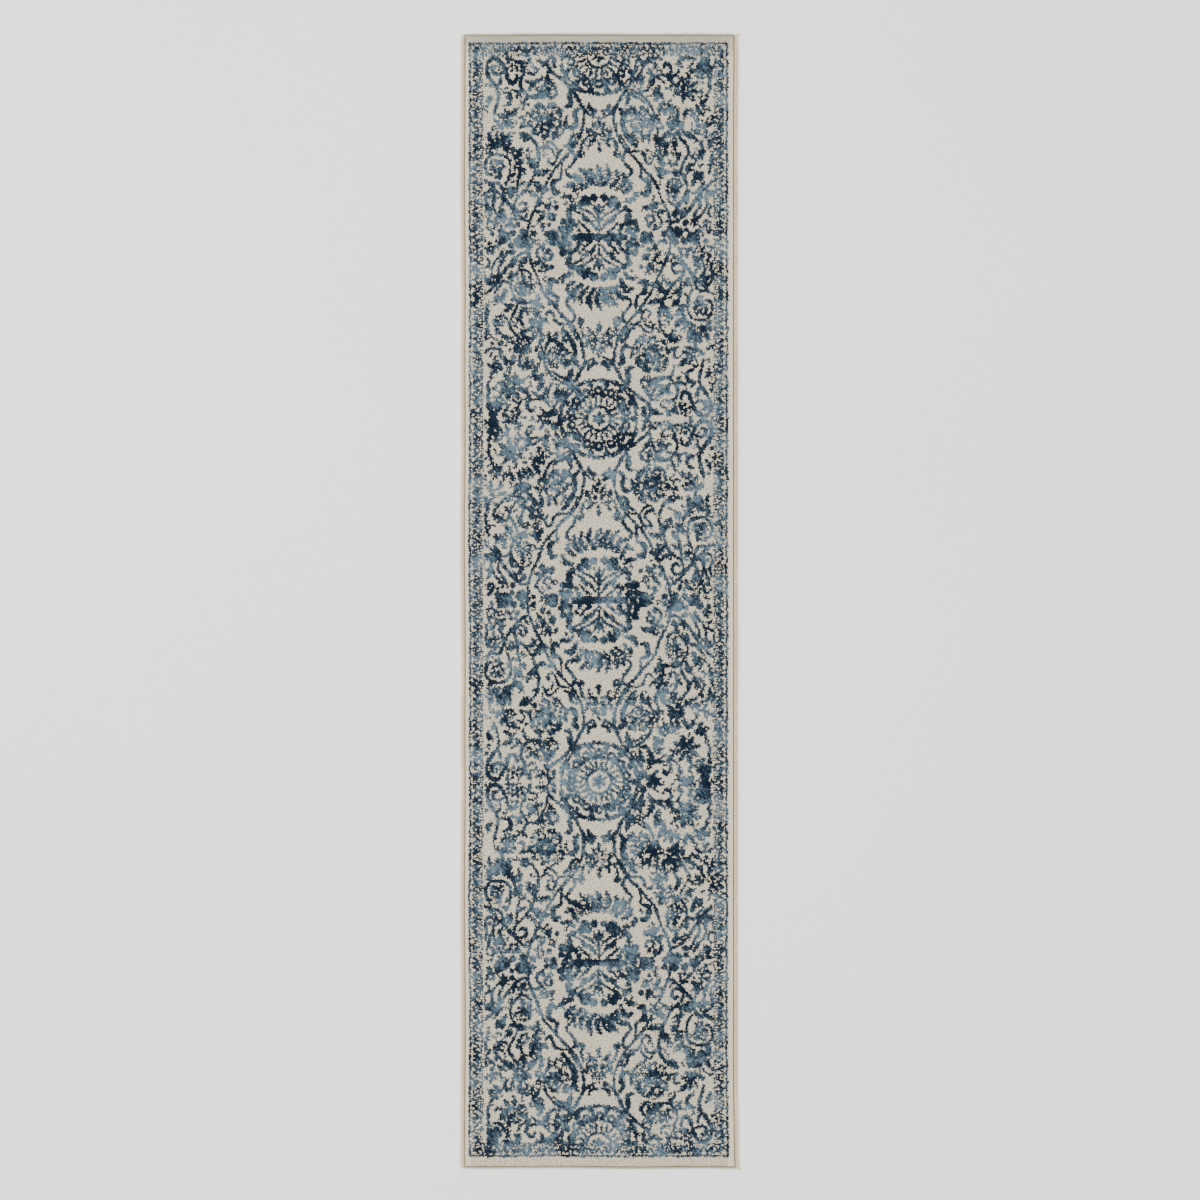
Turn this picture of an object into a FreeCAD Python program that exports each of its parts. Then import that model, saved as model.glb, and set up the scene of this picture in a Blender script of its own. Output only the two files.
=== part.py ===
import FreeCAD, Part
import Sketcher
import os

# Runner rug: a cut-pile woven runner with serged sides and overlocked ends.
# It lies flat, pile up. The origin is the centre of its underside, +X runs across the
# rug, +Y along it, and +Z up. Every size comes from the sheet, in millimetres.

LEFT, RIGHT = -1, 1
NEAR, FAR = -1, 1

doc = FreeCAD.newDocument("runner_rug")


# ---------------------------------------------------------------- driving dimensions
SIZES = [
    ("rug_width", 533.0, "overall, over the side serging"),
    ("rug_length", 2184.0, "overall, over the end serging"),
    ("coat_thick", 0.6, "latex coat under the weave"),
    ("ground_thick", 2.4, "woven foundation"),
    ("pile_height", 6.0, "cut pile above the foundation"),
    ("pile_corner", 4.0, "plan radius where the pile turns a corner"),
    ("pile_shoulder", 1.5, "rounding of the pile's top edge"),
    ("side_bead_width", 8.0, "serged bead on each long side"),
    ("side_bead_height", 7.0, "its height off the floor"),
    ("side_groove", 1.6, "bare stitched strip between side bead and pile"),
    ("end_bead_width", 4.4, "overlocked bead on each short end"),
    ("end_bead_height", 5.4, "its height off the floor"),
    ("end_groove", 0.8, "bare strip between end bead and pile"),
    ("end_tuck", 3.0, "how far the foundation reaches into an end bead"),
    ("bead_round", 1.8, "corner radius of both beads' sections"),
    ("cord_diameter", 3.6, "filler cord inside a side bead"),
    ("cord_setback", 2.0, "from the bead's end to the cord's end"),
    ("slot_overrun", 1.0, "how far a slot's cut starts outside the bead"),
]

sheet = doc.addObject("Spreadsheet::Sheet", "Sizes")
for row, (alias, value, note) in enumerate(SIZES, start=1):
    sheet.set(f"A{row}", alias)
    sheet.set(f"B{row}", str(value))
    sheet.set(f"C{row}", note)
    sheet.setAlias(f"B{row}", alias)
doc.recompute()

# Expressions that more than one piece is sized by.
BETWEEN_SIDES = "Sizes.rug_width - 2 * Sizes.side_bead_width"
BETWEEN_ENDS = "Sizes.rug_length - 2 * Sizes.end_bead_width"
GROUND_FLOOR = "Sizes.coat_thick"
GROUND_TOP = "Sizes.coat_thick + Sizes.ground_thick"


# ---------------------------------------------------------------- sketching and padding
def new_body(label):
    body = doc.addObject("PartDesign::Body", label)
    body.Label = label
    return body


def new_sketch(body, name, plane_role):
    """A sketch on one of the body's own origin planes."""
    plane = next(p for p in body.Origin.OriginFeatures if p.Role == plane_role)
    sketch = body.newObject("Sketcher::SketchObject", name)
    sketch.AttachmentSupport = [(plane, "")]
    sketch.MapMode = "FlatFace"
    return sketch


def set_size(sketch, name, constraint, expression):
    """Add a named driving constraint and bind it to the sheet."""
    index = sketch.addConstraint(constraint)
    sketch.renameConstraint(index, name)
    sketch.setExpression("Constraints." + name, expression)


def add_rectangle(sketch, left, right, low, high):
    """A rectangle whose four sides are placed from the sketch's origin by expressions."""
    corners = [FreeCAD.Vector(x, y, 0) for x, y in ((-1, -1), (1, -1), (1, 1), (-1, 1))]
    for start, end in zip(corners, corners[1:] + corners[:1]):
        sketch.addGeometry(Part.LineSegment(start, end))
    for side in range(4):
        sketch.addConstraint(Sketcher.Constraint("Coincident", side, 2, (side + 1) % 4, 1))
    for side, direction in enumerate(("Horizontal", "Vertical", "Horizontal", "Vertical")):
        sketch.addConstraint(Sketcher.Constraint(direction, side))
    set_size(sketch, "left", Sketcher.Constraint("DistanceX", -1, 1, 0, 1, -1.0), left)
    set_size(sketch, "right", Sketcher.Constraint("DistanceX", -1, 1, 1, 1, 1.0), right)
    set_size(sketch, "low", Sketcher.Constraint("DistanceY", -1, 1, 0, 1, -1.0), low)
    set_size(sketch, "high", Sketcher.Constraint("DistanceY", -1, 1, 2, 1, 1.0), high)


def add_centred_rectangle(sketch, width, height):
    add_rectangle(sketch, f"-({width}) / 2", f"({width}) / 2", f"-({height}) / 2", f"({height}) / 2")


def add_cord_circle(sketch):
    """The filler cord's round section, about the sketch's origin."""
    sketch.addGeometry(Part.Circle(FreeCAD.Vector(0, 0, 0), FreeCAD.Vector(0, 0, 1), 2.0))
    sketch.addConstraint(Sketcher.Constraint("Coincident", 0, 3, -1, 1))
    set_size(sketch, "diameter", Sketcher.Constraint("Diameter", 0, 4.0), "Sizes.cord_diameter")


def pad(body, sketch, length, both_ways):
    feature = body.newObject("PartDesign::Pad", body.Label + "_pad")
    feature.Profile = sketch
    feature.Midplane = both_ways
    feature.setExpression("Length", length)


def cut_through(body, sketch, name):
    """Cut a section right along a bead, and prove that it took material away."""
    doc.recompute()
    before = body.Shape.Volume
    pocket = body.newObject("PartDesign::Pocket", name)
    pocket.Profile = sketch
    pocket.Type = "ThroughAll"
    pocket.Midplane = True
    doc.recompute()
    if body.Shape.Volume >= before:
        raise RuntimeError(name + " cut nothing")


def round_edges(body, name, radius, chosen):
    """Fillet those edges of the body's last feature that the test picks out."""
    doc.recompute()
    base = body.Tip
    edges = [f"Edge{i}" for i, edge in enumerate(base.Shape.Edges, start=1) if chosen(edge)]
    fillet = body.newObject("PartDesign::Fillet", name)
    fillet.Base = (base, edges)
    fillet.setExpression("Radius", radius)
    doc.recompute()


def runs_along(edge, axis):
    step = edge.lastVertex().Point - edge.firstVertex().Point
    return step.cross(axis).Length < 1e-6


# ---------------------------------------------------------------- the three flat layers
def layer(label, width, length, underside, thickness):
    """A flat layer of the rug, centred on the origin, with its underside at a height."""
    body = new_body(label)
    sketch = new_sketch(body, label + "_outline", "XY_Plane")
    add_centred_rectangle(sketch, width, length)
    sketch.setExpression("AttachmentOffset.Base.z", underside)
    pad(body, sketch, thickness, both_ways=False)
    return body


def make_back_coat():
    """Latex size coat: it stops at the beads, which wrap under the foundation's edge."""
    return layer("back_coat", BETWEEN_SIDES, BETWEEN_ENDS, "0", "Sizes.coat_thick")


def make_ground_weave():
    """Foundation: its long edges stop level with the filler cords' inner sides, and its
    ends tuck into the end beads."""
    width = "Sizes.rug_width - Sizes.side_bead_width - Sizes.cord_diameter"
    length = BETWEEN_ENDS + " + 2 * Sizes.end_tuck"
    return layer("ground_weave", width, length, GROUND_FLOOR, "Sizes.ground_thick")


def make_pile():
    """Cut pile: upright corners rounded in plan, then the top edge rounded over."""
    width = BETWEEN_SIDES + " - 2 * Sizes.side_groove"
    length = BETWEEN_ENDS + " - 2 * Sizes.end_groove"
    body = layer("pile", width, length, GROUND_TOP, "Sizes.pile_height")
    up = FreeCAD.Vector(0, 0, 1)
    round_edges(body, "pile_corners", "Sizes.pile_corner", lambda edge: runs_along(edge, up))
    top = body.Shape.BoundBox.ZMax
    round_edges(body, "pile_shoulders", "Sizes.pile_shoulder",
                lambda edge: edge.BoundBox.ZMin > top - 1e-6)
    return body


# ---------------------------------------------------------------- the wound beads
def bead(label, section_plane, width, height, length, tuck):
    """A wound bead drawn about its own middle, slotted for the foundation's edge.

    The slot opens towards the sketch's own +X, so the bead suits the rug's left side or
    near end as it is, and the other edge when it is turned half round.
    """
    body = new_body(label)
    section = new_sketch(body, label + "_section", section_plane)
    add_centred_rectangle(section, width, height)
    pad(body, section, length, both_ways=True)
    along = FreeCAD.Vector(0, 1, 0) if section_plane == "XZ_Plane" else FreeCAD.Vector(1, 0, 0)
    round_edges(body, label + "_round", "Sizes.bead_round", lambda edge: runs_along(edge, along))

    slot = new_sketch(body, label + "_slot", section_plane)
    add_rectangle(slot, f"{width} / 2 - {tuck}", f"{width} / 2 + Sizes.slot_overrun",
                  f"{GROUND_FLOOR} - {height} / 2", f"{GROUND_TOP} - {height} / 2")
    cut_through(body, slot, label + "_ground_slot")
    return body


def put(body, direction, place, half_height, edge):
    """Turn a piece to face inwards from its edge and place it by expressions."""
    turn = 180.0 if edge > 0 else 0.0
    body.Placement.Rotation = FreeCAD.Rotation(FreeCAD.Vector(0, 0, 1), turn)
    body.setExpression(".Placement.Base." + direction, place)
    body.setExpression(".Placement.Base.z", half_height)


def make_side(name, edge):
    """One long edge: the serged bead and the filler cord that it is wound over."""
    width, height = "Sizes.side_bead_width", "Sizes.side_bead_height"
    tuck = f"({width} - Sizes.cord_diameter) / 2"
    serging = bead(name + "_side_serging", "XZ_Plane", width, height, "Sizes.rug_length", tuck)
    hole = new_sketch(serging, name + "_cord_hole_section", "XZ_Plane")
    add_cord_circle(hole)
    cut_through(serging, hole, name + "_cord_hole")

    cord = new_body(name + "_selvage_cord")
    section = new_sketch(cord, name + "_cord_section", "XZ_Plane")
    add_cord_circle(section)
    pad(cord, section, "Sizes.rug_length - 2 * Sizes.cord_setback", both_ways=True)

    for piece in (serging, cord):
        put(piece, "x", f"{edge} * (Sizes.rug_width - {width}) / 2", height + " / 2", edge)
    return [serging, cord]


def make_end(name, edge):
    """One short end: an overlocked bead between the two side beads."""
    width, height = "Sizes.end_bead_width", "Sizes.end_bead_height"
    serging = bead(name + "_end_serging", "YZ_Plane", width, height, BETWEEN_SIDES, "Sizes.end_tuck")
    put(serging, "y", f"{edge} * (Sizes.rug_length - {width}) / 2", height + " / 2", edge)
    return [serging]


# ---------------------------------------------------------------- build, check and write
pieces = [make_back_coat(), make_ground_weave(), make_pile()]
pieces += make_side("left", LEFT) + make_side("right", RIGHT)
pieces += make_end("near", NEAR) + make_end("far", FAR)

doc.recompute()
for thing in doc.Objects:
    if "Invalid" in thing.State or "Error" in thing.State:
        raise RuntimeError(f"{thing.Label} did not compute: {thing.State}")

os.makedirs("parts", exist_ok=True)
for piece in pieces:
    shape = piece.Shape
    if shape.isNull() or not shape.isValid() or len(shape.Solids) != 1:
        raise RuntimeError(f"{piece.Label} is not one valid solid")
    shape.exportStep(f"parts/{piece.Label}.step")
    box = shape.BoundBox
    print(f"{piece.Label:20s} {box.XLength:8.2f} {box.YLength:8.2f} {box.ZLength:6.2f}"
          f"  z {box.ZMin:5.2f}..{box.ZMax:5.2f}  volume {shape.Volume:12.1f}")
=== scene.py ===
import math
import random

import bmesh
import bpy
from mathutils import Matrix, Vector, noise
from mathutils.geometry import interpolate_bezier


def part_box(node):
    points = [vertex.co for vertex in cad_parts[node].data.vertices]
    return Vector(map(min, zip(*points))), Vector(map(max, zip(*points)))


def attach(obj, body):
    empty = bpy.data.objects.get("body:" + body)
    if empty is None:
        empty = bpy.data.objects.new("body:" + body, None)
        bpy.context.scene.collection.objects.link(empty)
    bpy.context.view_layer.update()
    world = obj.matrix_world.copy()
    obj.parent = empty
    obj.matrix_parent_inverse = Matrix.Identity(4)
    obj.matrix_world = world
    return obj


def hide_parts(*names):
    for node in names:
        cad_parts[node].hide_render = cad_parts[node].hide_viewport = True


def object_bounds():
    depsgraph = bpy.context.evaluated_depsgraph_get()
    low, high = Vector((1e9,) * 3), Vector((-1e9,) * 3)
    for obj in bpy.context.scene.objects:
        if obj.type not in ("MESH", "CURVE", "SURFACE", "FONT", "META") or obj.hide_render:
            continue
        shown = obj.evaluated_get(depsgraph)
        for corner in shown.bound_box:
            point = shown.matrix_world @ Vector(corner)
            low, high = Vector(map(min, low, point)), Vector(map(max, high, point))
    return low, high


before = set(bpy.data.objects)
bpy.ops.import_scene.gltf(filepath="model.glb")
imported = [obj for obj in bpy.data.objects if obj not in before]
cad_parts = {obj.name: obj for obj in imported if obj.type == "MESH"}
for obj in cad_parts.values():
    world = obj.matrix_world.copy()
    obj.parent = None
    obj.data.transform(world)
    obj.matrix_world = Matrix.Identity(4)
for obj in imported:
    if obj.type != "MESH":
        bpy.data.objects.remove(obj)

cad_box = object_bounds()
MM = 0.001
noise.seed_set(8)       # vector noise follows the clock unless it is seeded

# ---------------------------------------------------------------------------------------
# Woven foundation: jute weft on polyester warp, the cloth that every tuft is looped
# through. It is laid flat, and the whole rug lies on the floor as this cloth lies: the
# long edges wander a little, the ends bow, and one corner flares.
ground_low, ground_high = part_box("ground_weave")
rug_low, rug_high = cad_box
EDGE_WANDER = 1.1 * MM
END_BOW = 1.6 * MM
CORNER_FLARE = 2.6 * MM


def lie(co):
    """Move a point of the flat rug to where it lies on the floor."""
    x, y, z = co
    half_wide, half_long = rug_high.x, rug_high.y
    side, end = x / half_wide, y / half_long
    wander = noise.noise(Vector((0.0, y * 4.3, 7.0 + side))) * EDGE_WANDER * 1.6
    bow = noise.noise(Vector((x * 6.0, 3.0 + end, 11.0))) * END_BOW
    bow -= END_BOW * 0.55 * side * side * end
    flare = CORNER_FLARE * max(0.0, side) ** 6 * max(0.0, -end) ** 40
    return Vector((x + wander * side * side + flare, y + bow * end * end - flare, z))


def finish_piece(name, bm, material, slot, *nodes):
    """Lay a built bmesh on the floor with the rug, and hand it over as a piece."""
    for vert in bm.verts:
        vert.co = lie(vert.co)
    mesh = bpy.data.meshes.new(name)
    bm.to_mesh(mesh)
    bm.free()
    for polygon in mesh.polygons:
        polygon.use_smooth = True
    mesh.materials.append(material)
    piece = bpy.data.objects.new(name, mesh)
    bpy.context.scene.collection.objects.link(piece)
    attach(piece, "root")
    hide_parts(*nodes)
    return piece


def flat_slab(bm, low, high, across, along):
    """A closed slab between two corners, cut into cells so that it can lie unevenly."""
    bmesh.ops.create_grid(bm, x_segments=across, y_segments=along, size=0.5)
    size, middle = high - low, (high + low) / 2
    bmesh.ops.scale(bm, vec=(size.x, size.y, 1.0), verts=bm.verts)
    bmesh.ops.translate(bm, vec=(middle.x, middle.y, low.z), verts=bm.verts)
    raised = bmesh.ops.extrude_face_region(bm, geom=bm.faces[:])
    top = [v for v in raised["geom"] if isinstance(v, bmesh.types.BMVert)]
    bmesh.ops.translate(bm, vec=(0.0, 0.0, size.z), verts=top)
    bmesh.ops.recalc_face_normals(bm, faces=bm.faces)


class Nodes:
    """A short way to write a material's node tree."""

    WAVE_PERIOD = 0.314     # metres between the bands of a wave texture of scale 1

    def __init__(self, name, **constants):
        self.material = bpy.data.materials.new(name)
        self.material.use_nodes = True
        self.tree = self.material.node_tree
        self.shader = self.tree.nodes["Principled BSDF"]
        self.place = self.add("ShaderNodeTexCoord").outputs["Object"]
        for socket, value in constants.items():
            self.shader.inputs[socket.replace("_", " ")].default_value = value

    def add(self, kind, **settings):
        node = self.tree.nodes.new(kind)
        for key, value in settings.items():
            setattr(node, key, value)
        return node

    def link(self, source, target):
        self.tree.links.new(source, target)

    def waves(self, direction, pitch, warp):
        """Bands that repeat at a pitch, in metres."""
        node = self.add("ShaderNodeTexWave", bands_direction=direction)
        node.inputs["Scale"].default_value = self.WAVE_PERIOD / pitch
        node.inputs["Distortion"].default_value = warp
        self.link(self.place, node.inputs["Vector"])
        return node.outputs["Fac"]

    def cloud(self, size, detail=2.0, warp=0.0, stretch=(1.0, 1.0, 1.0)):
        """Noise whose blobs are about size across, in metres."""
        mapping = self.add("ShaderNodeMapping")
        mapping.inputs["Scale"].default_value = stretch
        self.link(self.place, mapping.inputs["Vector"])
        node = self.add("ShaderNodeTexNoise")
        node.inputs["Scale"].default_value = 1.0 / size
        node.inputs["Detail"].default_value = detail
        node.inputs["Distortion"].default_value = warp
        self.link(mapping.outputs["Vector"], node.inputs["Vector"])
        return node.outputs["Fac"]

    def ramp(self, factor, *stops):
        """A colour ramp from (position, colour) stops."""
        node = self.add("ShaderNodeValToRGB")
        elements = node.color_ramp.elements
        for index, (position, colour) in enumerate(stops):
            element = elements[index] if index < 2 else elements.new(position)
            element.position = position
            element.color = (*colour, 1.0)
        self.link(factor, node.inputs["Fac"])
        return node.outputs["Color"]

    def step(self, factor, low, high):
        """A smooth step of a factor between two values."""
        node = self.add("ShaderNodeMapRange", interpolation_type="SMOOTHSTEP")
        node.inputs["From Min"].default_value = low
        node.inputs["From Max"].default_value = high
        self.link(factor, node.inputs["Value"])
        return node.outputs["Result"]

    def tint(self, factor, shade, colour):
        """A shade carried, by a factor, towards a plain colour."""
        node = self.add("ShaderNodeMix", data_type="RGBA")
        share, first, second = (socket for socket in node.inputs if socket.enabled)
        self.link(factor, share)
        self.link(shade, first)
        second.default_value = (*colour, 1.0)
        return next(socket for socket in node.outputs if socket.enabled)

    def sum(self, first, second, operation="ADD"):
        """Two factors added, or joined by another operation. Either may be a number."""
        node = self.add("ShaderNodeMath", operation=operation)
        for socket, value in zip(node.inputs, (first, second)):
            if isinstance(value, float):
                socket.default_value = value
            else:
                self.link(value, socket)
        return node.outputs["Value"]

    def times(self, first, second):
        """Two factors multiplied. Either may be a number."""
        return self.sum(first, second, "MULTIPLY")

    def finish(self, colour, height=None, depth=0.001, strength=1.0):
        """Join the colour and the relief to the shader, and give back the material."""
        self.link(colour, self.shader.inputs["Base Color"])
        if height is not None:
            bump = self.add("ShaderNodeBump")
            bump.inputs["Strength"].default_value = strength
            bump.inputs["Distance"].default_value = depth
            self.link(height, bump.inputs["Height"])
            self.link(bump.outputs["Normal"], self.shader.inputs["Normal"])
        return self.material


def flat_yarn_material(name, pale, dark, roughness):
    """Plain-woven yarn: thick weft ribs across the rug, thinner warp ends along it."""
    m = Nodes(name, Roughness=roughness, Sheen_Weight=0.12, Sheen_Roughness=0.6,
              Specular_IOR_Level=0.2)
    weft = m.waves("Y", 3.2 * MM, 1.2)
    warp = m.waves("X", 2.1 * MM, 1.2)
    woven = m.sum(weft, m.times(warp, 0.5))
    fibres = m.cloud(0.9 * MM, 3.0, stretch=(1.0, 0.3, 1.0))
    tone = m.times(m.times(woven, 0.3), m.sum(m.cloud(40 * MM), fibres))
    colour = m.ramp(tone, (0.12, dark), (0.5, pale))
    return m.finish(colour, m.sum(woven, fibres), 0.6 * MM, 0.7)


ground = bmesh.new()
flat_slab(ground, ground_low, ground_high, 22, 90)
jute = flat_yarn_material("jute weave", (0.68, 0.57, 0.41), (0.42, 0.33, 0.21), 0.9)
foundation = finish_piece("woven_foundation", ground, jute, "ground_yarn", "ground_weave")

# ---------------------------------------------------------------------------------------
# Back coat: a thin skin of latex rolled over the underside to lock the tufts. It is too
# thin to hide the weft, so it dries in low ribs, one over each weft yarn.
coat_low, coat_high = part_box("back_coat")
WEFT_PITCH = 4.0 * MM
RIB_HEIGHT = 0.3 * MM
MAP_MARGIN = Vector((5 * MM, 5 * MM, 0.0))


def lay_flat_map(bm):
    """A map seen from above, for the bake. The walls lean outwards to have some width."""
    layer = bm.loops.layers.uv.new("OFBake")
    low, high = (Vector([pick(vert.co[axis] for vert in bm.verts) for axis in range(3)])
                 for pick in (min, max))
    low, high = low - MAP_MARGIN, high + MAP_MARGIN
    bm.normal_update()
    for face in bm.faces:
        lean = face.normal if abs(face.normal.z) < 0.5 else Vector()
        for loop in face.loops:
            place = loop.vert.co + lean * (high.z - loop.vert.co.z) * 0.5 - low
            loop[layer].uv = (place.x / (high.x - low.x), place.y / (high.y - low.y))


def ribbed_coat():
    """The skin of latex, with its underside drawn up over and between the weft yarns."""
    bm = bmesh.new()
    steps = round((coat_high.y - coat_low.y) / WEFT_PITCH * 4)
    flat_slab(bm, coat_low, coat_high, 14, steps)
    for vert in bm.verts:
        if vert.co.z < coat_high.z - MM * 0.1:
            phase = vert.co.y / WEFT_PITCH * math.tau
            uneven = 0.7 + 0.5 * noise.noise(Vector((vert.co.x * 60, vert.co.y * 25, 2.0)))
            vert.co.z += RIB_HEIGHT * uneven * (0.5 + 0.5 * math.cos(phase))
    lay_flat_map(bm)
    return bm


def latex_material():
    m = Nodes("latex coat", Roughness=0.62, Specular_IOR_Level=0.35)
    threads = m.waves("X", 2.6 * MM, 2.0)
    smear = m.cloud(26 * MM, 4.0, 0.2, stretch=(0.45, 1.0, 1.0))
    colour = m.ramp(m.sum(smear, m.times(threads, 0.25)),
                    (0.35, (0.39, 0.31, 0.21)), (0.62, (0.5, 0.42, 0.3)), (0.85, (0.58, 0.5, 0.38)))
    return m.finish(colour, m.sum(threads, smear), 0.4 * MM, 0.6)


finish_piece("latex_back_coat", ribbed_coat(), latex_material(), "latex_coat", "back_coat")

# ---------------------------------------------------------------------------------------
# Ivory pile: the ground colour, cut tufts standing on the foundation. It fills the plain
# margin and everything between the figure's tufts. Its edges round over, and its outermost
# tufts splay a little way out over the foundation.
pile_low, pile_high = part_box("pile")
TUFT = 2.4 * MM
IVORY_TOP = pile_high.z - 0.5 * MM
SHOULDER = 0.9 * MM
SPLAY = 0.5 * MM
USUAL_HEIGHT = 1.0      # of the tufts in the height map, hollows and ends together
# Painted light: the ivory is painted paler within this width of each long side.
SIDE_MARGIN = 11 * MM
# Painted shade: the ivory is painted darker over this length at the far end.
PAINTED_SHADE_FAR_END = 45 * MM


def ivory_tufts():
    """One uneven sheet of tuft ends, with rounded edges and a flat seat."""
    bm = bmesh.new()
    size, middle = pile_high - pile_low, (pile_high + pile_low) / 2
    bmesh.ops.create_grid(bm, x_segments=124, y_segments=520, size=0.5)
    inset = 2 * (SHOULDER - SPLAY)
    bmesh.ops.scale(bm, vec=(size.x - inset, size.y - inset, 1.0), verts=bm.verts)
    bmesh.ops.translate(bm, vec=(middle.x, middle.y, IVORY_TOP), verts=bm.verts)
    for vert in bm.verts:
        vert.co.z += noise.noise(vert.co / (3.1 * MM)) * 0.15 * MM
    rim = [edge for edge in bm.edges if edge.is_boundary]
    for outwards, down in ((0.55, 0.35), (0.45, 0.8), (0.0, 0.0)):
        made = bmesh.ops.extrude_edge_only(bm, edges=rim)["geom"]
        verts = [g for g in made if isinstance(g, bmesh.types.BMVert)]
        rim = [g for g in made if isinstance(g, bmesh.types.BMEdge)]
        wider = 2 * SHOULDER * outwards
        grow = Vector((1 + wider / size.x, 1 + wider / size.y, 1.0))
        bmesh.ops.scale(bm, vec=grow, verts=verts)
        bmesh.ops.translate(bm, vec=(0.0, 0.0, -SHOULDER * down), verts=verts)
    for vert in verts:
        vert.co.z = pile_low.z
    bmesh.ops.contextual_create(bm, geom=rim)
    bmesh.ops.recalc_face_normals(bm, faces=bm.faces)
    lay_flat_map(bm)
    return bm


def pile_height_map(m):
    """Tuft ends packed side by side, with the fibres splayed over them."""
    cells = m.add("ShaderNodeTexVoronoi", distance="EUCLIDEAN")
    cells.inputs["Scale"].default_value = 1.0 / TUFT
    cells.inputs["Randomness"].default_value = 0.7
    m.link(m.place, cells.inputs["Vector"])
    domes = m.sum(1.0, cells.outputs["Distance"], "SUBTRACT")
    return m.sum(domes, m.cloud(0.8 * MM, 3.0))


def painted_relief_light_and_shade(m, height, amount):
    """Painted light and shade: lighter fibre ends and painted shade in the hollows between them, about the
    same on the whole.
    """
    return m.times(m.sum(height, USUAL_HEIGHT, "SUBTRACT"), amount)


def ivory_material():
    m = Nodes("ivory pile", Roughness=0.95, Sheen_Weight=0.1, Sheen_Roughness=0.55,
              Specular_IOR_Level=0.08)
    height = pile_height_map(m)
    # The mottle here carries painted light and shade from the relief as well as random tone.
    mottle = m.sum(m.cloud(2.9 * MM, 2.0), painted_relief_light_and_shade(m, height, 0.3))
    shade = m.ramp(mottle, (0.36, (0.36, 0.32, 0.245)), (0.48, (0.57, 0.5, 0.37)),
                   (0.62, (0.8, 0.71, 0.53)))
    worn = m.step(m.cloud(70 * MM, 3.0), 0.35, 0.7)
    shade = m.tint(m.times(worn, 0.3), shade, (0.5, 0.46, 0.37))
    split = m.add("ShaderNodeSeparateXYZ")
    m.link(m.place, split.inputs["Vector"])
    aside = m.sum(split.outputs["X"], 0.0, "ABSOLUTE")
    # Painted light: the ivory is painted paler along both long sides.
    side_painted_light = m.step(aside, pile_high.x - SIDE_MARGIN, pile_high.x - SIDE_MARGIN + 4 * MM)
    shade = m.tint(m.times(side_painted_light, 0.5), shade, (0.92, 0.83, 0.65))
    # Painted shade: the ivory is painted darker towards the far end.
    far_end_painted_shade = m.step(split.outputs["Y"], pile_high.y - PAINTED_SHADE_FAR_END, pile_high.y - 15 * MM)
    shade = m.tint(m.times(far_end_painted_shade, 0.55), shade, (0.32, 0.29, 0.225))
    return m.finish(shade, height, 1.1 * MM, 0.8)


finish_piece("ivory_pile", ivory_tufts(), ivory_material(), "pile_yarn", "pile")

# ---------------------------------------------------------------------------------------
# Figure: the blue tufts of the field, an old garden pattern of rosettes, great medallions,
# vines, leaves and flowers. One repeat of it is drawn here in mm, with x from the centre
# line, and y from the middle of a rosette towards the great medallion.
strokes = {"vines": [], "leaves": [], "buds": [], "flowers": [], "medallions": []}
group = "vines"


def ink(points):
    """Keep one stroke: its points in a row, each with the stroke's half width there."""
    kind = "buds" if group == "leaves" and len(points) == 1 else group
    strokes[kind].append(points)


def vine(width, *points, mirror=False):
    """A stem of even width through the points, a little thinner at its ends."""
    last = len(points) - 1
    ink([(x, y, width / 2 * (0.7 if i in (0, last) else 1.0)) for i, (x, y) in enumerate(points)])
    if mirror:
        vine(width, *[(-x, y) for x, y in points])


def leaf(width, start, end, bend=0.0, mirror=False):
    """A pointed leaf from its stalk to its tip; bend is its sideways bow."""
    (x0, y0), (x1, y1) = start, end
    long = math.hypot(x1 - x0, y1 - y0)
    bow_x, bow_y = -(y1 - y0) / long * bend, (x1 - x0) / long * bend
    middle = (x0 * 0.55 + x1 * 0.45 + bow_x, y0 * 0.55 + y1 * 0.45 + bow_y)
    ink([(x0, y0, width * 0.22), (*middle, width / 2), (x1, y1, width * 0.12)])
    if mirror:
        leaf(width, (-x0, y0), (-x1, y1), -bend)


def blade(width, tip, belly, base):
    """A curved leaf from its thin tip, through its belly, to its blunt base."""
    ink([(*tip, width * 0.2), (*belly, width * 0.5), (*base, width * 0.34)])


def dot(size, x, y, mirror=False):
    """A round spot of tufts."""
    ink([(x, y, size / 2)])
    if mirror:
        dot(size, -x, y)


def each(draw, *given, **ways):
    """Draw one stroke after another with the same tool."""
    for stroke in given:
        draw(*stroke, **ways)


def around(x, y, radius, angle, stretch=1.0):
    """A point round a centre; 0 degrees is to the right and 90 towards +y."""
    turn = math.radians(angle)
    return x + radius * math.cos(turn), y + radius * stretch * math.sin(turn)


def arc(width, x, y, radius, start, end, stretch=1.0):
    """Part of a ring, with a point at least every 24 degrees."""
    steps = max(3, math.ceil(abs(end - start) / 24))
    angles = [start + (end - start) * i / steps for i in range(steps + 1)]
    vine(width, *[around(x, y, radius, a, stretch) for a in angles])


def petals(width, x, y, inner, outer, count, first=0.0):
    """Solid petals pointing out from a centre."""
    for i in range(count):
        angle = first + 360 * i / count
        leaf(width, around(x, y, inner, angle), around(x, y, outer, angle))


def dots(size, x, y, radius, count, first=0.0, turn=360.0, stretch=1.0):
    """Round spots set evenly round a centre."""
    for i in range(count):
        dot(size, *around(x, y, radius, first + turn * i / count, stretch))


def daisy(x, y, radius, count, first=0.0):
    """A dark starry flower with an open eye and a ring of spots round it."""
    arc(radius * 0.15, x, y, radius * 0.2, 0, 340)
    petals(radius * 0.28, x, y, radius * 0.2, radius * 0.72, count, first)
    for i in range(count):
        angle = first + (i + 0.5) * 360 / count
        dot(radius * 0.3, *around(x, y, radius * 0.92, angle - 7))
        dot(radius * 0.24, *around(x, y, radius * 0.86, angle + 9))


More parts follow.
